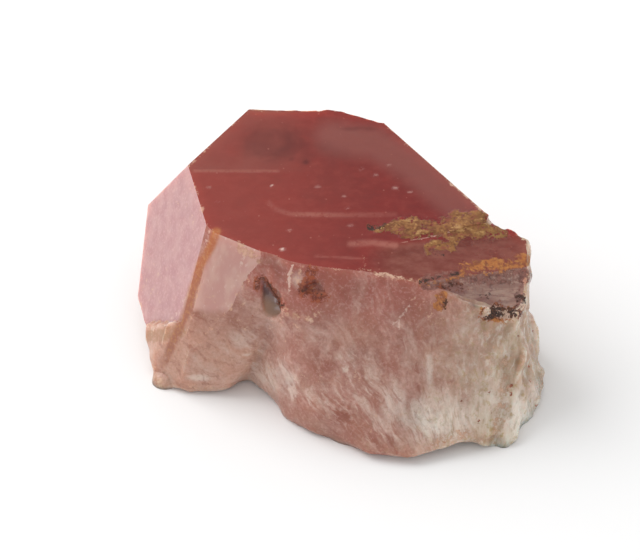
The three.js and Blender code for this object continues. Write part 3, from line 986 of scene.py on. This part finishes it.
def body_masks(front, points, normals, thick):
    """How the stone itself changes: dry, whitish, blushing, veiled, brown, clear at its thin end;
    with a painted highlight on the left foot's lower rim, and painted light and a painted highlight
    in the long pocket.
    """
    x, z = points[:, 0], points[:, 2]
    at = front.at
    wander = ripple(points, 2.2, seed=70)
    dry = ramp(x + 0.25 * (12 - z), 7.0, 22.0) * 0.95 + 0.25 * wander * ramp(z, 12.5, 4.0)
    blush = ramp(z, 12.5, 17.0) * ramp(x, 18, 6) * 0.75
    blush = np.minimum(blush + spots(at, [(-5.2, 2.3, 3.5, 1.1, 0.35)]), 0.9)
    thin = ramp(thick, 6, 2.5) * ramp(x, 21.5, 24.5) * ramp(normals[:, 2], -0.2, 0.1)
    return {
        "dry": np.clip(dry, 0, 1),
        "blush": blush,
        "clear": thin * 0.25,
        "veiled": front.lines(*VEILS) * (1 - 0.8 * blush) + 0.2 * (1 - front.facing),
        # whitish patches, and a painted highlight on the left foot's rim
        "milky_and_highlight": front.spots(MILKY_AND_HIGHLIGHT),
        "brown": front.spots(BROWNS),
        "foot": ramp(x, -7, -12) * ramp(z, 14, 6),
        "upper": ramp(at[:, 1] + 0.5 * wander, -4.4, -3.4),
        "plum": ramp(past_rim(at, (0.3, 0.6, 1.2)), 0.1, -0.3) * front.facing * 0.85,
        # painted light and a painted highlight in the long pocket
        "sunlit": ramp(at[:, 1] + 0.5 * at[:, 0], -4.6, -6.2),
        "painted_highlight": spots(at, [(-5.4, -2.3, 0.3, 0.6, 1.0), (-5.1, -3.5, 0.6, 0.25, 0.6)]),
    }


def put_masks(mesh, points, quads, label):
    """Stores what the material reads: a number a point for each mark, a number a face for each
    kind of growth face, and the grain's coordinates."""
    _, normals = faced(points, quads)
    edge = to_edges(points, quads, label)
    thick = through(points, normals, quads)
    front = Front(points, normals)
    masks = stain_masks(front, points, normals, edge)
    masks |= crown_masks(front.at, points[:, 0], edge, normals[:, 2])
    masks |= body_masks(front, points, normals, thick)
    for name, values in masks.items():
        data = mesh.attributes.new(name, "FLOAT", "POINT").data
        data.foreach_set("value", np.asarray(values, np.float32))
    for name, keys in ZONES.items():
        data = mesh.attributes.new(name, "FLOAT", "FACE").data
        data.foreach_set("value", np.isin(label, keys).astype(np.float32))
    data = mesh.attributes.new("grain", "FLOAT_VECTOR", "POINT").data
    data.foreach_set("vector", grain_of(points).astype(np.float32).ravel())


def quartz_stone(node):
    """The dressed stone, made from the node's own solid."""
    points, quads = netted(node)
    points, flags = settled(points, node)
    flags = thinned(flags, quads)
    points = evened(points, quads, flags, 12)
    label = labelled(points, quads, flags)
    points = carved(points, quads, flags)
    mesh = stone_mesh(points, quads, label)
    put_masks(mesh, points, quads, label)
    mesh.materials.append(stone_material())
    stone = bpy.data.objects.new("quartz_stone", mesh)
    bpy.context.scene.collection.objects.link(stone)
    return stone


# ---------------------------------------------------------------- floor, light and camera
def stage_floor():
    half = 3.0  # metres
    corners = [(-half, -half, 0), (half, -half, 0), (half, half, 0), (-half, half, 0)]
    mesh = bpy.data.meshes.new("floor")
    mesh.from_pydata(corners, [], [(0, 1, 2, 3)])
    floor = bpy.data.objects.new("floor", mesh)
    paper = bpy.data.materials.new("floor_paper")
    paper.use_nodes = True
    shader = paper.node_tree.nodes["Principled BSDF"]
    shader.inputs["Base Color"].default_value = (0.86, 0.86, 0.86, 1)
    shader.inputs["Roughness"].default_value = 0.8
    mesh.materials.append(paper)
    bpy.context.scene.collection.objects.link(floor)


def window_light():
    """One large soft light from behind on the left."""
    place, aim = Vector((-0.42, 0.22, 0.46)), Vector((0, 0, 0.01))
    data = bpy.data.lights.new("window", "AREA")
    data.shape = "DISK"
    data.size = 0.6
    data.energy = 2.9
    light = bpy.data.objects.new("window", data)
    light.location = place
    light.rotation_euler = (aim - place).to_track_quat("-Z", "Y").to_euler()
    bpy.context.scene.collection.objects.link(light)


def white_world():
    world = bpy.data.worlds.new("studio")
    world.use_nodes = True
    background = world.node_tree.nodes["Background"]
    background.inputs["Color"].default_value = (1, 1, 1, 1)
    background.inputs["Strength"].default_value = 0.84
    bpy.context.scene.world = world


def camera():
    data = bpy.data.cameras.new("camera")
    data.sensor_width = 36
    data.lens = 126
    data.clip_start = 0.01
    cam = bpy.data.objects.new("camera", data)
    aim = Vector((-2.4, -3.82, 12.9)) * MM
    distance, elevation = 0.28, math.radians(42)
    back = Vector((0, -math.cos(elevation), math.sin(elevation)))
    cam.location = aim + back * distance
    cam.rotation_euler = (-back).to_track_quat("-Z", "Y").to_euler()
    bpy.context.scene.collection.objects.link(cam)
    bpy.context.scene.camera = cam


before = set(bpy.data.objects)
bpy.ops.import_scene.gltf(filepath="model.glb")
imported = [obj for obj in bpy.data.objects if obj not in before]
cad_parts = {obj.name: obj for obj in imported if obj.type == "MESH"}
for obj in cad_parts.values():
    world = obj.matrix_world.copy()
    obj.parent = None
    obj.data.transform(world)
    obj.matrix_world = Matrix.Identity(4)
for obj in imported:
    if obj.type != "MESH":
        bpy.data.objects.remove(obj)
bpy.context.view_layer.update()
stone = quartz_stone(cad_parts["quartz_crystal"])
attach(stone, "root")
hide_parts("quartz_crystal")
stage_floor()
window_light()
white_world()
camera()
bpy.context.scene.view_settings.view_transform = "Standard"
